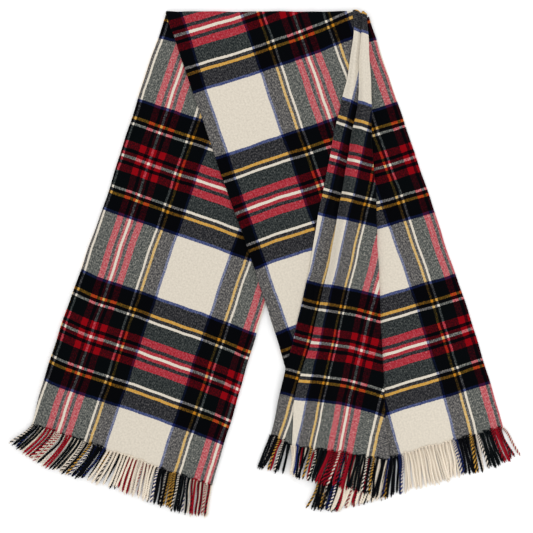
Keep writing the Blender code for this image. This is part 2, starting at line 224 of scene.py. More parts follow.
TWIST_START = 3.5  # where the two plies start to turn, one turn's length, and how it varies
TWIST_LAY = 5.8
TWIST_SPREAD = (0.85, 1.2)
TWIST_STEP = 1.0  # the length between a cord's rings

# One half of the repeat, from the white line in the red band to the middle of the cream.
# The whole repeat is this and its mirror image.
WARP_STRIPES = [
    ("white", 2.0), ("red", 4.9), ("black", 5.8), ("red", 12.2), ("green", 26.1),
    ("white", 3.9), ("black", 5.4), ("gold", 4.5), ("black", 25.6), ("blue", 4.5),
    ("cream", 52.65),
]
WEFT_STRIPES = [
    ("white", 2.3), ("red", 6.1), ("black", 6.6), ("red", 14.5), ("green", 30.4),
    ("white", 4.5), ("black", 6.5), ("gold", 5.2), ("black", 29.2), ("blue", 5.2),
    ("cream", 61.8),
]
COLOURS = {  # of the cloth, where a stripe crosses one of its own colour
    "white": (0.612, 0.558, 0.470),
    "cream": (0.612, 0.558, 0.470),
    "red": (0.205, 0.0014, 0.0042),
    "black": (0.0008, 0.00095, 0.00165),
    "green": (0.00095, 0.0017, 0.0022),
    "gold": (0.43, 0.168, 0.010),
    "blue": (0.006, 0.0115, 0.074),
}
YARNS = {  # of the fringe's yarns, which have no nap
    **COLOURS,
    "gold": (0.45, 0.22, 0.03),
    "red": (0.22, 0.002, 0.007),
    "white": (0.66, 0.575, 0.48),
    "cream": (0.74, 0.645, 0.52),
}

LAY_SCALE = 100.0
# How each layer's cloth lies: a middle place, then across and along as
# (constant, x, y, xx, xy, yy, xyy, yyy, xxy) terms of the distance from it in hundreds of mm
LAYS = {
    "tail": (
        (-205.2, -60.8),
        (94.33, 95.03, -31.99, 0.1, -0.13, -0.03, -0.11, 0.02, -0.04),
        (112.25, 32.92, 94.85, 0.6, -0.29, -0.05, 0.0, -0.01, -0.49),
    ),
    "tail_lower": (
        (-205.2, -60.8),
        (-225.23, -95.03, 31.99, -0.1, 0.13, 0.03, 0.11, -0.02, 0.04),
        (112.25, 32.92, 94.85, 0.6, -0.29, -0.05, 0.0, -0.01, -0.49),
    ),
    "panel": (
        (7.6, 264.1),
        (-110.19, 93.09, 31.89, -0.9, 0.25, -0.2, 0.19, -0.01, 0.15),
        (-136.43, 30.79, -93.78, -0.19, -0.19, -0.06, 0.41, 0.05, 1.17),
    ),
    "leg": (
        (294.5, -66.5),
        (-82.45, 95.36, 31.08, 1.24, 0.4, 0.92, 0.31, -0.1, 1.18),
        (-83.47, 28.23, -96.53, 1.21, 0.04, 0.08, 0.27, 0.04, 0.38),
    ),
    "flap": (
        (152, -30.4),
        (-65.92, 119.82, -27.67, -28.78, 10.19, -1.06, 1.33, 0.03, -5.87),
        (220.36, -17.89, -97.41, -5.45, -0.1, 0.48, -0.57, 0.01, 1.41),
    ),
    "pleat": (
        (95, -11.4),
        (-84.15, 104.58, -26.46, 0.34, -0.07, 0.58, -0.38, -0.01, 0.06),
        (212.18, -24.66, -95.95, -1.54, -1.66, 0.69, -0.73, 0.12, 0.24),
    ),
}

# Where the repeat is pulled at a cloth's outer edge: from where across, over what width, how
# far across, and how far along in its middle and for each LAY_SCALE upwards
EDGE_PULLS = {"tail": (-8.0, 50.0, 3.0, 4.4, -1.6)}


# ------------------------------------------------------------ curves and heights


def smooth_curve(points, position):
    """Places on the smooth curve through points, where 1.5 is midway from point 1 to 2."""
    spots = np.array(points, dtype=float)
    padded = np.vstack([2 * spots[0] - spots[1], spots, 2 * spots[-1] - spots[-2]])
    position = np.asarray(position, dtype=float)
    index = np.minimum(position.astype(int), len(spots) - 2)
    t = (position - index)[..., None]
    before, start, end, after = (padded[index + step] for step in range(4))
    bend = (2 * before - 5 * start + 4 * end - after) * t**2
    twist = (3 * start - before - 3 * end + after) * t**3
    return 0.5 * (2 * start + (end - before) * t + bend + twist)


def column_pair(sections, column):
    """One edge's places, from the two columns of a table of sections that hold them."""
    return [section[column : column + 2] for section in sections]


def unit(vector):
    """A direction of length one."""
    return vector / np.linalg.norm(vector)


def smooth_step(value):
    """A smooth rise from 0 to 1 as the value goes from 0 to 1."""
    value = np.clip(value, 0.0, 1.0)
    return value * value * (3 - 2 * value)


def distance_right(points, places):
    """How far places lie to the right of the straight line between an edge's ends."""
    top = np.array(points[0], dtype=float)
    run = unit(np.array(points[-1], dtype=float) - top)
    return -run[1] * (places[..., 0] - top[0]) + run[0] * (places[..., 1] - top[1])


def above_tail(places):
    """How high the front lies over the tail, and how it comes down beside it."""
    past = distance_right(TAIL_RIGHT, places) - STEP_START
    return 2 * PITCH * (1 - smooth_step(past / TAIL_STEP))


def above_front(places):
    """How high the flap and pleat lie over the front, and how they come down beside it."""
    inside = distance_right(FRONT_LEFT, places)
    fold = FOLD_LIFT * (1 - smooth_step((inside - STEP_START) / FOLD_LIFT_REACH))
    rise = 2 * PITCH + FLAP_CLEARANCE + fold
    return above_tail(places) + rise * (1 - smooth_step((-inside - STEP_START) / FRONT_STEP))


def above_pleat(places, pleat_end):
    """How high the flap lies over the pleat's hidden end, and how it comes down past it."""
    past = np.linalg.norm(places - pleat_end, axis=-1) * (places[..., 0] > pleat_end[0])
    return PITCH * (1 - smooth_step((past - PLEAT_STEP_START) / PLEAT_STEP))


def fold_lift(distance):
    """How much a layer puffs up at a distance from its lengthwise fold."""
    return FOLD_LIFT * (1 - smooth_step(distance / FOLD_LIFT_REACH))


def ridge_fade(y):
    """The share of the ridges' height that is left at a place down the scarf."""
    top = smooth_step((y - RIDGE_TOP_START) / (TOP_FOLD_Y - RIDGE_TOP_START))
    return smooth_step((y - RIDGE_FADE_START) / RIDGE_FADE) * (1 - (1 - RIDGE_TOP_SHARE) * top)


def ridge(place, crest, foot):
    """A ridge's share of its height: none at the edge, all at the crest, none at the foot."""
    return smooth_step(place / crest) * (1 - smooth_step((place - crest) / (foot - crest)))


def pleat_ridge(share, width, y):
    """The rise of the pleat, which falls steeply into the valley beside the flap's edge."""
    height = min(PLEAT_RIDGE, PLEAT_RIDGE_SLOPE * width) * ridge_fade(y)
    return height * ridge(share, PLEAT_CREST, PLEAT_FOOT)


def flap_ridge(distance, width, y):
    """The rise of the flap, from its free edge in the valley to a crest close beside it."""
    reach = min(width, FLAP_RIDGE_WIDTH)
    full = LEAST_FLAP_RIDGE + (FLAP_RIDGE - LEAST_FLAP_RIDGE) * ridge_fade(y)
    height = np.minimum(full, FLAP_RIDGE_SLOPE * reach)
    return height * ridge(distance, min(FLAP_CREST, reach / 2), reach)


def shoulder(places):
    """How much lower a place lies where the top fold slopes down to the right."""
    share = smooth_step((places[..., 0] - SHOULDER_START) / SHOULDER_WIDTH)
    up = smooth_step((places[..., 1] - SHOULDER_FOOT) / SHOULDER_HEIGHT)
    return SHOULDER_DROP * share * up


def wave_sum(places, waves):
    """The sum of a list of waves at places on the table."""
    x = places[..., 0]
    y = places[..., 1]
    total = 0.0
    for size, start, x_length, y_length, bend, bend_length in waves:
        angle = x / x_length + y / y_length + bend * np.sin(y / bend_length) + start
        total = total + size * np.sin(angle)
    return total


def swell(places):
    """The soft rise and fall that all the layers share, never below the table."""
    return SWELL_SIZE * (1 + wave_sum(places, SWELL_WAVES))


def sway(places):
    """A small unevenness of the edges, shared by all the layers."""
    across = wave_sum(places, SWAY_ACROSS_WAVES)
    down = wave_sum(places, SWAY_DOWN_WAVES)
    return np.stack([across, down], axis=-1)


# ------------------------------------------------------------ shells


def stations(length, step):
    """Even shares along a length, about a step apart."""
    return np.linspace(0.0, 1.0, max(int(round(length / step)), 2) + 1)


def along(start, end, share):
    """Places on a straight line, at shares of its length."""
    return start + (end - start) * np.asarray(share)[:, None]


def joined(places, heights, cut=None):
    """Columns x, y, z, and the x, y on the unfolded cloth that each point comes from."""
    cut = places if cut is None else cut
    heights = np.broadcast_to(np.asarray(heights, dtype=float), (len(places),))
    return np.column_stack([places, heights, cut])


def fold_round(inner, out, top, drop):
    """A fold's points, from the flat's end, round its half circle, to the lip under it."""
    radius = drop / 2
    angle = np.linspace(0, math.pi, FOLD_STEPS + 1)[1:]
    places = inner + out * radius * np.sin(angle)[:, None]
    cut = inner + out * radius * angle[:, None]
    turned = joined(places, top - radius * (1 - np.cos(angle)), cut)
    lip = (inner - out * FOLD_LIP)[None]
    lip_cut = (inner + out * (radius * math.pi + FOLD_LIP))[None]
    return np.vstack([turned, joined(lip, top - drop, lip_cut)])


def fold_inset(drop):
    """How far inside its outline a fold starts to turn."""
    return drop / 2 + WALL / 2


def rolled(row, last_angle):
    """A section's copies over the top fold, from the far end back to the section."""
    rows = []
    for step in range(ROLL_STEPS, -1, -1):
        angle = last_angle * step / ROLL_STEPS
        turned = row.copy()
        reach = np.maximum(row[:, 2] - ROLL_AXIS_Z, LEAST_ROLL)
        height = reach
        if angle >= math.pi / 2:
            height = np.minimum(reach, ROLL_AXIS_Z - WALL / 2)
        turned[:, 1] = TOP_FOLD_Y + reach * math.sin(angle)
        turned[:, 2] = ROLL_AXIS_Z + height * math.cos(angle)
        turned[:, 4] = TOP_FOLD_Y + reach * angle
        if step == 0:
            turned[:, 2] = row[:, 2]
        rows.append(turned)
    return rows


def positions(points):
    """Positions along an edge, about a row step apart."""
    length = np.linalg.norm(np.diff(np.array(points, dtype=float), axis=0), axis=1).sum()
    return stations(length, ROW_STEP) * (len(points) - 1)


def tail_rows():
    """The tail's two layers, the upper one folded under at its left edge."""
    upper = []
    lower = []
    flat_share = stations(LEG_WIDTH, COLUMN_STEP)
    hidden_share = stations(LEG_WIDTH, HIDDEN_COLUMN_STEP)
    for position in positions(TAIL_LEFT):
        left = smooth_curve(TAIL_LEFT, position)
        right = smooth_curve(TAIL_RIGHT, position)
        out = unit(left - right)
        below = TOP_FOLD_Y - left[1] - TAIL_LIFT_START
        lift = FOLD_LIFT * smooth_step(below / TAIL_LIFT_FADE)
        drop = PITCH + lift
        inner = left - out * fold_inset(drop)
        fold = fold_round(inner, out, PITCH + WALL / 2 + lift, drop)[::-1]
        flat = along(inner, right, flat_share)
        rise = lift / FOLD_LIFT * fold_lift(np.linalg.norm(flat - inner, axis=1))
        upper.append(np.vstack([fold, joined(flat, PITCH + WALL / 2 + rise)]))
        across = unit(right - inner)
        start = inner - out * FOLD_LIP + across * GAP
        end = right - across * SELVEDGE_STEP
        lower.append(joined(along(start, end, hidden_share), WALL / 2))
    return upper, lower


def crease_crossing(left, right):
    """Where a straight section of the front meets the crease, as a position on the crease."""
    fine = np.linspace(0, len(CREASE) - 1, CREASE_STEPS)
    spots = smooth_curve(CREASE, fine)
    slope = (right[1] - left[1]) / (right[0] - left[0])
    above = spots[:, 1] - (left[1] + slope * (spots[:, 0] - left[0]))
    return np.interp(0.0, -above, fine)


def flap_height(places, pleat_end):
    """The middle of the flap's wall, without its ridge."""
    return above_front(places) + above_pleat(places, pleat_end) + WALL / 2


def flap_section(position):
    """A section's places: its pleat's and flap's edges, the pleat's hidden end, the crease."""
    edge = smooth_curve(PLEAT_EDGE, position)
    flap_edge = smooth_curve(FLAP_EDGE, position)
    crease = smooth_curve(CREASE, position)
    out = unit(crease - flap_edge)
    hidden_end = flap_edge + (crease - flap_edge) * HIDDEN_SHARE
    top = flap_height(crease, hidden_end) + FOLD_LIFT
    drop = top - (above_tail(crease) + PITCH + FLAP_CLEARANCE + WALL / 2)
    inner = crease - out * fold_inset(drop)
    return edge, flap_edge, hidden_end, inner, out, top, drop


def front_rows():
    """The front's lower layer, and its upper one as far as the crease, rolled over the top."""
    leg = []
    panel = []
    panel_share = stations(PANEL_WIDTH, COLUMN_STEP)
    hidden_share = stations(PANEL_WIDTH, HIDDEN_COLUMN_STEP)
    beyond_share = stations(BEYOND_WIDTH, COLUMN_STEP)[1:]
    for position in positions(FRONT_LEFT):
        left = smooth_curve(FRONT_LEFT, position)
        right = smooth_curve(FRONT_RIGHT, position)
        out = unit(left - right)
        drop = PITCH + FOLD_LIFT
        inner = left - out * fold_inset(drop)
        across = unit(right - inner)
        inner_crease = flap_section(crease_crossing(left, right))[3]
        panel_end = inner_crease - across * (FOLD_LIP + GAP)
        start = inner - out * FOLD_LIP + across * GAP
        hidden = along(start, panel_end, hidden_share)
        beyond = along(panel_end, right, beyond_share)
        under = np.vstack([hidden, beyond])
        leg.append(joined(under, above_tail(under) + WALL / 2))
        level = above_tail(inner) + PITCH + WALL / 2
        fold = fold_round(inner, out, level + FOLD_LIFT, drop)[::-1]
        flat = along(inner, panel_end, panel_share)
        lift = fold_lift(np.linalg.norm(flat - inner, axis=1))
        panel.append(np.vstack([fold, joined(flat, above_tail(flat) + PITCH + WALL / 2 + lift)]))
    return leg, rolled(panel[0], math.pi) + panel[1:]


def flap_rows():
    """The flap, folded under along the crease, and the pleat that comes out under it."""
    flap = []
    pleat = []
    flap_share = stations(FLAP_WIDTH, RIDGE_COLUMN_STEP)
    pleat_share = stations(PLEAT_WIDTH, RIDGE_COLUMN_STEP)
    hidden_share = stations(HIDDEN_PLEAT_WIDTH, HIDDEN_COLUMN_STEP)[1:]
    for position in positions(CREASE):
        edge, flap_edge, hidden_end, inner, out, top, drop = flap_section(position)
        flat = along(flap_edge, inner, flap_share)
        distance = np.linalg.norm(flat - flap_edge, axis=1)
        width = distance[-1]
        height = flap_height(flat, hidden_end) + fold_lift(width - distance)
        height = height + flap_ridge(distance, width, flat[:, 1])
        drop += height[-1] - top
        fold = fold_round(inner, out, height[-1], drop)
        flap.append(np.vstack([joined(flat, height), fold]))
        visible = along(edge, flap_edge, pleat_share)
        hidden = along(flap_edge, hidden_end, hidden_share)
        strip = np.vstack([visible, hidden])
        rise = pleat_ridge(pleat_share, np.linalg.norm(flap_edge - edge), visible[:, 1])
        rise = np.concatenate([rise, np.zeros(len(hidden))])
        pleat.append(joined(strip, above_front(strip) + WALL / 2 + rise))
    return rolled(flap[0], FLAP_ROLL) + flap[1:], rolled(pleat[0], FLAP_ROLL) + pleat[1:]


def cloth_coordinates(lay, cut):
    """Where places on the flat cloth lie across and along the repeat, in millimetres."""
    middle, across, along_it = LAYS[lay]
    x, y = ((cut - np.array(middle)) / LAY_SCALE).T
    bends = [x * x, x * y, y * y, x * y * y, y**3, x * x * y]
    terms = np.stack([np.ones_like(x), x, y, *bends])
    across, along_it = np.array(across) @ terms, np.array(along_it) @ terms
    if lay in EDGE_PULLS:
        start, reach, pull, lift, growth = EDGE_PULLS[lay]
        near = np.clip((start - across) / reach, 0.0, 1.0) ** 2
        across = across - pull * near
        along_it = along_it - (lift + growth * y) * near
    return across, along_it


def to_metres(places, heights):
    """World points from table places, with the shared softness added."""
    moved = places + sway(places) - CENTRE
    moved[:, 1] -= shoulder(places)
    return np.column_stack([moved, heights + swell(places)]) * MM


def new_object(name, points, faces, node):
    """A smooth piece in metres that takes a node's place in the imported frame."""
    mesh = bpy.data.meshes.new(name)
    mesh.from_pydata(points.tolist(), [], faces)
    mesh.update()
    mesh.shade_smooth()
    made = bpy.data.objects.new(name, mesh)
    bpy.context.scene.collection.objects.link(made)
    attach(made, "root")
    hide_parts(node)
    return made


def mark_cloth(made, flat, lay):
    """Keeps on a cloth's mesh where each point lies in the tartan, in metres."""
    cut = flat[:, 3:] - np.column_stack([np.zeros(len(flat)), shoulder(flat[:, :2])])
    across, along_it = cloth_coordinates(lay, cut)
    layer = made.data.uv_layers.new(name="Cloth")
    loops = np.zeros(len(made.data.loops), dtype=np.int32)
    made.data.loops.foreach_get("vertex_index", loops)
    layer.data.foreach_set("uv", (np.column_stack([across, along_it])[loops] * MM).ravel())


def thicken(made):
    """Gives a sheet the cloth's thickness, half to each side, with rounded edges."""
    wall = made.modifiers.new("wall", "SOLIDIFY")
    wall.thickness = WALL * MM
    wall.offset = 0.0
    wall.use_even_offset = True
    edge = made.modifiers.new("edge", "BEVEL")
    edge.width = EDGE_ROUND * MM
    edge.segments = EDGE_ROUND_STEPS
    edge.limit_method = "ANGLE"
    edge.angle_limit = SHARP_ANGLE


def cloth_shell(name, node, rows, lay):
    """A shell of cloth round a grid of points in its middle."""
    grid = np.array(rows)
    count, width = grid.shape[:2]
    flat = grid.reshape(-1, 5)
    points = to_metres(flat[:, :2], flat[:, 2])
    index = np.arange(count * width).reshape(count, width)
    corners = [index[:-1, :-1], index[1:, :-1], index[1:, 1:], index[:-1, 1:]]
    faces = np.stack(corners, axis=-1).reshape(-1, 4)
    made = new_object(name, points, faces.tolist(), node)
    mark_cloth(made, flat, lay)
    thicken(made)
    made.data.materials.append(TARTAN)
    return made


# ------------------------------------------------------------ fringe


def stripe_at(across):
    """The name of the warp stripe at a distance across the repeat."""
    half = sum(width for _, width in WARP_STRIPES)
    place = abs((across + half) % (2 * half) - half)
    for colour, width in WARP_STRIPES:
        place -= width
        if place <= 0:
            return colour
    return WARP_STRIPES[-1][0]


class Cords:
    """The mesh of a fringe's plies, each a tube of yarn with painted shade underneath and
    painted light on top.
    """

    def __init__(self):
        self.points = []
        self.faces = []
        self.colours = []
        self.count = 0

    def add_cord(self, centres, sides, twisted, yarns, shades):
        """One cord of two plies, on opposite sides of its middle."""
        offset, radius, turn = twisted
        for ply, (yarn, shade) in enumerate(zip(yarns, shades)):
            colour = (*(channel * shade for channel in YARNS[yarn]), 1.0)
            self.add_ply(centres, sides, turn + math.pi * (1 - ply), offset, radius, colour)

    def add_ply(self, centres, sides, turn, offset, radius, colour):
        """One ply: its cord's centres and sides, its turn round them, its sizes and colour."""
        across = np.column_stack([sides, np.zeros(len(sides))])
        up = np.array((0.0, 0.0, PLY_FLATTEN))
        middle = centres + across * (offset * np.cos(turn))[:, None]
        middle = middle + up * (offset * np.sin(turn))[:, None]
        ring = across[:, None] * np.cos(RING)[:, None] + up * np.sin(RING)[:, None]
        points = middle[:, None] + ring * radius[:, None, None]
        index = self.count + np.arange(len(points) * PLY_SIDES).reshape(-1, PLY_SIDES)
        following = np.roll(index, -1, axis=1)
        quads = np.stack([index[:-1], following[:-1], following[1:], index[1:]], axis=-1)
        # painted shade and light: each ring's colour is darker underneath and lighter on top
        power = PLY_PAINTED_SHADE + (PLY_PAINTED_LIGHT - PLY_PAINTED_SHADE) * 0.5 * (1 + np.sin(RING))
        rings = np.array(colour) ** power[:, None]
        self.points.append(points.reshape(-1, 3))
        self.faces += quads.reshape(-1, 4).tolist()
        self.faces += [index[0, ::-1].tolist(), index[-1].tolist()]
        self.colours.append(np.tile(rings, (len(points), 1)))
        self.count += index.size

    def piece(self, name, node):
        """The finished piece, with the plies' colours and their painted shade and light kept on
        its points.
        """
        points = np.vstack(self.points)
        places = to_metres(points[:, :2], points[:, 2])
        made = new_object(name, places, self.faces, node)
        colours = made.data.color_attributes.new("YarnAndPaintedShade", "FLOAT_COLOR", "POINT")
        colours.data.foreach_set("color", np.vstack(self.colours).astype(np.float32).ravel())
        made.data.materials.append(CORD)
        return made


def bunching(distance, seed):
    """How far neighbouring strands lean together, along the cloth's end."""
    return sum(size * math.sin(distance / far + turn * seed) for size, far, turn in BUNCHES)


def cord_line(root, tip, away, run, bend):
    """A cord's path from its root to its tip, with its sideways direction and its depth."""
    reach = np.linalg.norm(tip - root)
    control = root + away * reach * STRAND_STIFF
    t = np.linspace(0, 1, int(reach / TWIST_STEP) + 1)
    line = (
        root * ((1 - t) ** 2)[:, None]
        + control * (2 * t * (1 - t))[:, None]
        + tip * (t**2)[:, None]
    )
    tangent = np.gradient(line, axis=0)
    tangent /= np.linalg.norm(tangent, axis=1)[:, None]
    side = np.column_stack([-tangent[:, 1], tangent[:, 0]])
    side *= np.sign(side @ run)[:, None]
    bow, wiggle, start = bend
    swing = bow * np.sin(math.pi * t) + wiggle * t * np.sin(WIGGLE_TURN * t + start)
    return line + side * swing[:, None], side, t * reach


def twist(depth, free, turn_length):
    """How far a cord's plies lie off its middle, how thick they are and how far they turn."""
    taper = np.clip((depth[-1] - depth) / TIP_TAPER, TIP_SIZE, 1.0)
    offset = (YARN_WIDTH + (PLY_OFFSET - YARN_WIDTH) * free) * taper
    radius = (YARN_WIDTH + (PLY_RADIUS - YARN_WIDTH) * free) * taper
    turn = 2 * math.pi * np.maximum(depth - TWIST_START, 0) / turn_length
    return offset, radius, turn


def grown_yarns(across, loose):
    """The colours of a cord's two plies, which start side by side on the cloth."""
    reaches = [(ply - 0.5) * PLY_REACH + loose.uniform(-PLY_MIX, PLY_MIX) for ply in (0, 1)]
    yarns = [stripe_at(across + reach) for reach in reaches]
    return ["gold", "black"] if yarns == ["gold", "gold"] else yarns


def cord_bend(loose, may_kink):
    """A cord's bow to a side, and the size and start of its waves."""
    bow = KINK if may_kink and loose.random() < KINKED else BOW
    return [
        loose.uniform(-bow, bow),
        loose.uniform(-WIGGLE, WIGGLE),
        loose.uniform(0, SEED_REACH),
    ]


def fringe(name, node, ends, tips, lay, ground, layer, place):
    """Two-ply cords along a cloth's end, which leave it as spread yarns, in one or two rows."""
    loose = random.Random(name + " loose")
    start, end = (np.array(corner, dtype=float) for corner in ends)
    run = unit(end - start)
    away = np.array((run[1], -run[0]))
    length = np.linalg.norm(end - start)
    count = max(int(round(length / STRAND_PITCH)), 2)
    seed = loose.uniform(0.0, SEED_REACH)
    rows, jitter, under_mix, under_gaps = FRINGE_HABITS[node]
    apart, apart_reach, apart_bow, apart_yarns = LOOSE_CORDS.get(node, (count, 0.0, 0.0, None))
    cords = Cords()
    for index in range(rows * count):
        number, row = divmod(index, rows)
        upper = row == 0
        if not upper and loose.random() < under_gaps:
            continue
        share = (number + place) / count
        if not upper:
            share = (share + ROW_SHIFT / count) % 1.0
        root = start + run * share * length + away * GAP
        tip = smooth_curve(tips, share * (len(tips) - 1))
        tip = tip + away * loose.uniform(*TIP_REACH)
        tip = tip + run * (bunching(share * length, seed) + loose.gauss(0.0, jitter))
        if upper:
            root = root - away * loose.uniform(*ROOT_REACH)
        bend = cord_bend(loose, under_mix > STRAND_PITCH)
        alone = upper and number in (apart, apart + count)
        if alone:
            tip = tip + run * apart_reach
            bend[0] = apart_bow
        line, side, depth = cord_line(root, tip, away, run, bend)
        free = smooth_step(depth / SPREAD_DEPTH)
        rise = WALL / 2 + STRAND_CLEARANCE + upper * (ROOT_RISE + (rows - 1) * UPPER_RISE * free)
        centres = np.column_stack([line, ground(line) + layer(root) + rise])
        twisted = twist(depth, free, TWIST_LAY * loose.uniform(*TWIST_SPREAD))
        across = cloth_coordinates(lay, root[None])[0][0]
        across += loose.gauss(0.0, UPPER_MIX if upper else under_mix)
        yarns = grown_yarns(across, loose)
        # the lower row's cords get painted shade
        row_painted_shade = 1.0 if upper else UNDER_ROW_PAINTED_SHADE
        shades = [loose.uniform(*YARN_SHADES) * row_painted_shade for _ in yarns]
        cords.add_cord(centres, side, twisted, apart_yarns if alone else yarns, shades)
    return cords.piece(name, node)


# ------------------------------------------------------------ materials


class Nodes:
    """Short calls to build a material's node tree."""

    def __init__(self, name):
        self.material = bpy.data.materials.new(name)
        self.material.use_nodes = True
        self.tree = self.material.node_tree
        self.shader = self.tree.nodes["Principled BSDF"]

    def link(self, value, socket):
        """Gives an input another node's output, or a plain value."""
        if isinstance(value, bpy.types.NodeSocket):
            self.tree.links.new(value, socket)
        else:
            socket.default_value = value

    def math(self, operation, first, second=0.0, third=0.0):
        node = self.tree.nodes.new("ShaderNodeMath")
        node.operation = operation
        for value, socket in zip((first, second, third), node.inputs):
            self.link(value, socket)
        return node.outputs[0]

    def noise(self, vector, scale, detail=0.0, roughness=0.5):
        node = self.tree.nodes.new("ShaderNodeTexNoise")
        node.inputs["Scale"].default_value = scale
        node.inputs["Detail"].default_value = detail
        node.inputs["Roughness"].default_value = roughness
        self.link(vector, node.inputs["Vector"])
        return node.outputs["Fac"]

    def centred_noise(self, vector, scale, detail=0.0):
        """A noise whose middle value is nought."""
        return self.math("SUBTRACT", self.noise(vector, scale, detail), 0.5)

    def vector(self, x, y, z=0.0):
        node = self.tree.nodes.new("ShaderNodeCombineXYZ")
        for value, socket in zip((x, y, z), node.inputs):
            self.link(value, socket)
        return node.outputs[0]

    def gamma(self, colour, power):
        node = self.tree.nodes.new("ShaderNodeGamma")
        self.link(colour, node.inputs["Color"])
        node.inputs["Gamma"].default_value = power
        return node.outputs[0]

    def mix(self, factor, first, second, blend="MIX"):
        node = self.tree.nodes.new("ShaderNodeMix")
        node.data_type = "RGBA"
        node.blend_type = blend
        self.link(factor, node.inputs["Factor"])
        self.link(first, node.inputs["A"])
        self.link(second, node.inputs["B"])
        return node.outputs["Result"]

    def stripes(self, distance, chart):
        """The chart's colours over a distance in metres, mirrored at both of its ends."""
        half = sum(width for _, width in chart) * MM
        folded = self.math("PINGPONG", distance, half)
        node = self.tree.nodes.new("ShaderNodeValToRGB")
        ramp = node.color_ramp
        ramp.interpolation = "CONSTANT"
        ends = np.cumsum([0.0] + [width for _, width in chart]) * MM / half
        for index, (colour, _) in enumerate(chart):
            stop = ramp.elements[0] if index == 0 else ramp.elements.new(ends[index])
            stop.color = (*COLOURS[colour], 1.0)
        ramp.elements.remove(ramp.elements[-1])
        self.link(self.math("DIVIDE", folded, half), node.inputs["Fac"])
        return node.outputs["Color"]

    def toned(self, colour, noise, strength):
        """Gives the shader a colour that a noise makes lighter and darker by turns."""
        tone = self.math("MULTIPLY_ADD", noise, strength, 1 - strength / 2)
        colour = self.mix(1.0, colour, self.vector(tone, tone, tone), "MULTIPLY")
        self.link(colour, self.shader.inputs["Base Color"])

    def bump(self, height, strength, distance):
        node = self.tree.nodes.new("ShaderNodeBump")
        node.inputs["Strength"].default_value = strength
        node.inputs["Distance"].default_value = distance
        self.link(height, node.inputs["Height"])
        self.link(node.outputs[0], self.shader.inputs["Normal"])

    def set(self, **values):
        for name, value in values.items():
            self.shader.inputs[name.replace("_", " ")].default_value = value


THREAD = 1.1 * MM  # a thread's width, of which the twill's wales take four
WALE = 4 * THREAD
MIX_POWER = 0.156  # a low power, in which the darker of two crossing yarns tells more: partly dark fibres that cover light ones, partly painted shade in the gaps of the weave

# The weft's share of the cloth's face, and how strongly the speckle and twill change it
WEFT_SHARE = 0.608
MOTTLE_SHARE = 0.5
CLUMP_SHARE = 0.12
WALE_SHARE = 0.05
LEAST_SHARE = 0.02

# How far the stripes' edges wander and are fuzzy
WANDER = 1.2 * MM
FUZZ = 1.5 * MM

# The noises' scales, in waves for each metre, and the places in them of those that lie apart
WANDER_SCALE = 45.0
FUZZ_SCALE = 420.0
MOTTLE_SCALE = 320.0
CLUMP_SCALE = 175.0
TUFT_SCALE = 290.0
NAP_SCALE = 330.0
FIBRE_SCALE = 1100.0
WARP_NOISE = 0.1
WEFT_NOISE = 0.7
TUFT_NOISE = 0.3

# How much the tufts' and fibres' tones differ, and how the nap and the fibres stand out
TUFT_SHADE = 0.26
FIBRE_SHADE = 0.5
NAP_WALE = 0.12
NAP_STRENGTH = 0.3
NAP_DEPTH = 1.2 * MM
FIBRE_STRENGTH = 0.5
FIBRE_DEPTH = 0.8 * MM


def wandering(made, value, other, depth):
    """A distance whose stripes wander a little and are fuzzy at the scale of a thread."""
    spot = made.vector(value, other, depth)
    wide = made.centred_noise(spot, WANDER_SCALE, 1.0)
    fine = made.centred_noise(spot, FUZZ_SCALE)
    shift = made.math("MULTIPLY_ADD", fine, FUZZ, made.math("MULTIPLY", wide, WANDER))
    return made.math("ADD", value, shift)


def weft_share(made, spot, wale):
    """How much of the cloth's face is weft, with its speckle, its clumps and the twill."""
    mottle = made.centred_noise(spot, MOTTLE_SCALE)
    clumps = made.centred_noise(spot, CLUMP_SCALE)
    share = made.math("MULTIPLY_ADD", mottle, MOTTLE_SHARE, WEFT_SHARE)
    share = made.math("MULTIPLY_ADD", clumps, CLUMP_SHARE, share)
    share = made.math("MULTIPLY_ADD", wale, WALE_SHARE, share)
    return made.math("MINIMUM", made.math("MAXIMUM", share, LEAST_SHARE), 1 - LEAST_SHARE)


def tartan_material():
    """Brushed wool in a two-by-two twill, whose colours come from the chart of stripes."""
    made = Nodes("tartan")
    cloth = made.tree.nodes.new("ShaderNodeUVMap")
    cloth.uv_map = "Cloth"
    split = made.tree.nodes.new("ShaderNodeSeparateXYZ")
    made.link(cloth.outputs[0], split.inputs[0])
    across = split.outputs[0]
    along_it = split.outputs[1]
    warp = made.stripes(wandering(made, across, along_it, WARP_NOISE), WARP_STRIPES)
    weft = made.stripes(wandering(made, along_it, across, WEFT_NOISE), WEFT_STRIPES)
    spot = made.vector(across, along_it)
    diagonal = made.math("ADD", across, along_it)
    wale = made.math("SINE", made.math("MULTIPLY", diagonal, 2 * math.pi / WALE))
    share = weft_share(made, spot, wale)
    mixed = made.mix(share, made.gamma(warp, MIX_POWER), made.gamma(weft, MIX_POWER))
    colour = made.gamma(mixed, 1 / MIX_POWER)
    tufts = made.noise(made.vector(along_it, across, TUFT_NOISE), TUFT_SCALE)
    made.toned(colour, tufts, TUFT_SHADE)
    nap = made.noise(spot, NAP_SCALE)
    made.bump(made.math("MULTIPLY_ADD", wale, NAP_WALE, nap), NAP_STRENGTH, NAP_DEPTH)
    made.set(Roughness=0.95, Sheen_Weight=0.012, Sheen_Roughness=0.6, Specular_IOR_Level=0.01)
    return made.material


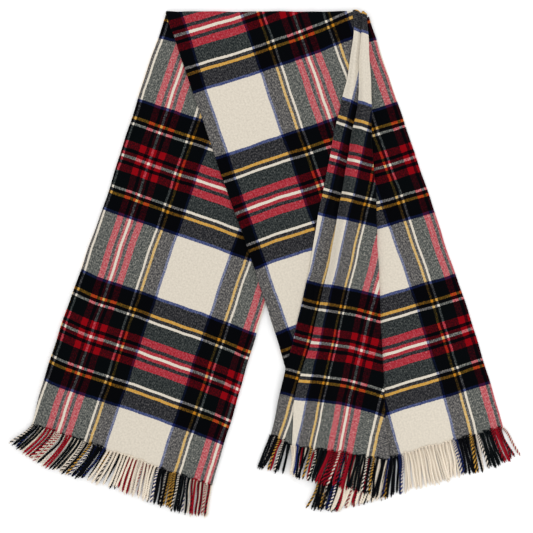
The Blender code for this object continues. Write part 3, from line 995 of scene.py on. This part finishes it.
def cord_material():
    """Twisted wool yarn, coloured by the stripe that each ply grows from, with the painted shade
    and light kept on its points.
    """
    made = Nodes("cord")
    yarn = made.tree.nodes.new("ShaderNodeAttribute")
    yarn.attribute_name = "YarnAndPaintedShade"
    place = made.tree.nodes.new("ShaderNodeTexCoord").outputs["Object"]
    fibre = made.noise(place, FIBRE_SCALE, detail=3.0, roughness=0.6)
    made.toned(yarn.outputs["Color"], fibre, FIBRE_SHADE)
    made.bump(fibre, FIBRE_STRENGTH, FIBRE_DEPTH)
    made.set(Roughness=0.9, Sheen_Weight=0.01, Sheen_Roughness=0.6, Specular_IOR_Level=0.02)
    return made.material


def plain_material(name, colour):
    """A dull material of one colour."""
    made = Nodes(name)
    made.set(Base_Color=(*colour, 1.0), Roughness=0.9, Specular_IOR_Level=0.1)
    return made.material


# ------------------------------------------------------------ the scarf

TAIL_LEFT = column_pair(TAIL_SECTIONS, 0)
TAIL_RIGHT = column_pair(TAIL_SECTIONS, 2)
FRONT_LEFT = column_pair(FRONT_SECTIONS, 0)
FRONT_RIGHT = column_pair(FRONT_SECTIONS, 2)
PLEAT_EDGE = column_pair(FLAP_SECTIONS, 0)
FLAP_EDGE = column_pair(FLAP_SECTIONS, 2)
CREASE = column_pair(FLAP_SECTIONS, 4)
TARTAN = tartan_material()
CORD = cord_material()


def on_table(places):
    """The ground of the legs' fringes."""
    return 0.0


def first_layer(place):
    """A fringe's height above its ground where its cloth has nothing under it there."""
    return 0.0


def second_layer(place):
    """And where its cloth lies on one more layer."""
    return PITCH


def flap_layer(place):
    """And the flap's, which lies partly on the pleat."""
    return float(above_pleat(place, flap_section(len(CREASE) - 1)[2]))


tail_upper, tail_lower = tail_rows()
leg, panel = front_rows()
flap, pleat = flap_rows()
tail_ends = (TAIL_LEFT[-1], TAIL_RIGHT[-1])
front_ends = (FRONT_LEFT[-1], FRONT_RIGHT[-1])
panel_ends = (FRONT_LEFT[-1], CREASE[-1])
pleat_ends = (PLEAT_EDGE[-1], FLAP_EDGE[-1])
flap_ends = (FLAP_EDGE[-1], CREASE[-1])

# Each layer: its node, rows, lay, flat size in metres and what it lies on, then its fringe's
# node, ends, tips, ground, layer and place in the pitch
PARTS = [
    ("tail_lower_layer", tail_lower, "tail_lower", (0.350, 0.850), ["floor"],
     "fringe_tail_lower", tail_ends, TAIL_TIPS, on_table, first_layer, LOWER_PLACE),
    ("tail_upper_layer", tail_upper, "tail", (0.365, 0.850), ["tail_lower_cloth"],
     "fringe_tail_upper", tail_ends, TAIL_TIPS, on_table, second_layer, UPPER_PLACE),
    ("front_lower_layer", leg, "leg", (0.360, 0.890), ["tail_upper_cloth"],
     "fringe_front_lower", front_ends, FRONT_TIPS, on_table, first_layer, LOWER_PLACE),
    ("front_upper_layer", panel, "panel", (0.270, 0.910), ["front_lower_cloth"],
     "fringe_front_upper", panel_ends, PANEL_TIPS, on_table, second_layer, UPPER_PLACE),
    ("pleat", pleat, "pleat", (0.060, 0.850), ["front_upper_cloth"],
     "fringe_pleat", pleat_ends, PLEAT_TIPS, above_front, first_layer, EVEN_PLACE),
    ("flap", flap, "flap", (0.125, 0.870), ["front_upper_cloth"],
     "fringe_flap", flap_ends, FLAP_TIPS, above_front, flap_layer, EVEN_PLACE),
]

FLOOR_REACH = 4
FLOOR_COLOUR = (0.93, 0.93, 0.93)
floor_corners = [(-FLOOR_REACH, -FLOOR_REACH, 0), (FLOOR_REACH, -FLOOR_REACH, 0)]
floor_corners += [(FLOOR_REACH, FLOOR_REACH, 0), (-FLOOR_REACH, FLOOR_REACH, 0)]
floor_mesh = bpy.data.meshes.new("floor")
floor_mesh.from_pydata(floor_corners, [], [(0, 1, 2, 3)])
floor = bpy.data.objects.new("floor", floor_mesh)
bpy.context.scene.collection.objects.link(floor)
floor_mesh.materials.append(plain_material("floor", FLOOR_COLOUR))

for node, rows, lay, flat, rests_on, fringe_node, ends, tips, *heights in PARTS:
    cloth = cloth_shell(node.replace("_layer", "") + "_cloth", node, rows, lay)
    cords = fringe(fringe_node + "_cords", fringe_node, ends, tips, lay, *heights)

# ------------------------------------------------------------ camera and light

CAMERA_HEIGHT = 3.0
SENSOR_WIDTH = 36
VIEW_WIDTH = 1.0127  # what the photo's width shows of the table, and where its middle is
PHOTO_MIDDLE = (0.00335, -0.00445)
WORLD_LIGHT = 1.15

camera = bpy.data.objects.new("camera", bpy.data.cameras.new("camera"))
camera.data.sensor_width = SENSOR_WIDTH
camera.data.lens = SENSOR_WIDTH * CAMERA_HEIGHT / VIEW_WIDTH
camera.location = (*PHOTO_MIDDLE, CAMERA_HEIGHT)
bpy.context.scene.collection.objects.link(camera)
bpy.context.scene.camera = camera

world = bpy.data.worlds.new("studio")
world.use_nodes = True
backdrop = world.node_tree.nodes["Background"]
backdrop.inputs["Color"].default_value = (1, 1, 1, 1)
backdrop.inputs["Strength"].default_value = WORLD_LIGHT
bpy.context.scene.world = world
bpy.context.scene.view_settings.view_transform = "Standard"


def soft_light(name, place, size, power):
    """A square lamp that points at the middle of the scarf."""
    lamp = bpy.data.lights.new(name, "AREA")
    lamp.shape = "SQUARE"
    lamp.size = size
    lamp.energy = power
    made = bpy.data.objects.new(name, lamp)
    made.location = place
    aim = -np.array(place)
    made.rotation_euler = (
        math.atan2(math.hypot(aim[0], aim[1]), -aim[2]),
        0.0,
        math.atan2(aim[0], -aim[1]),
    )
    bpy.context.scene.collection.objects.link(made)


soft_light("key", place=(-1.6, 1.8, 2.4), size=1.6, power=76)
soft_light("fill", place=(1.9, -0.6, 2.2), size=1.8, power=30)
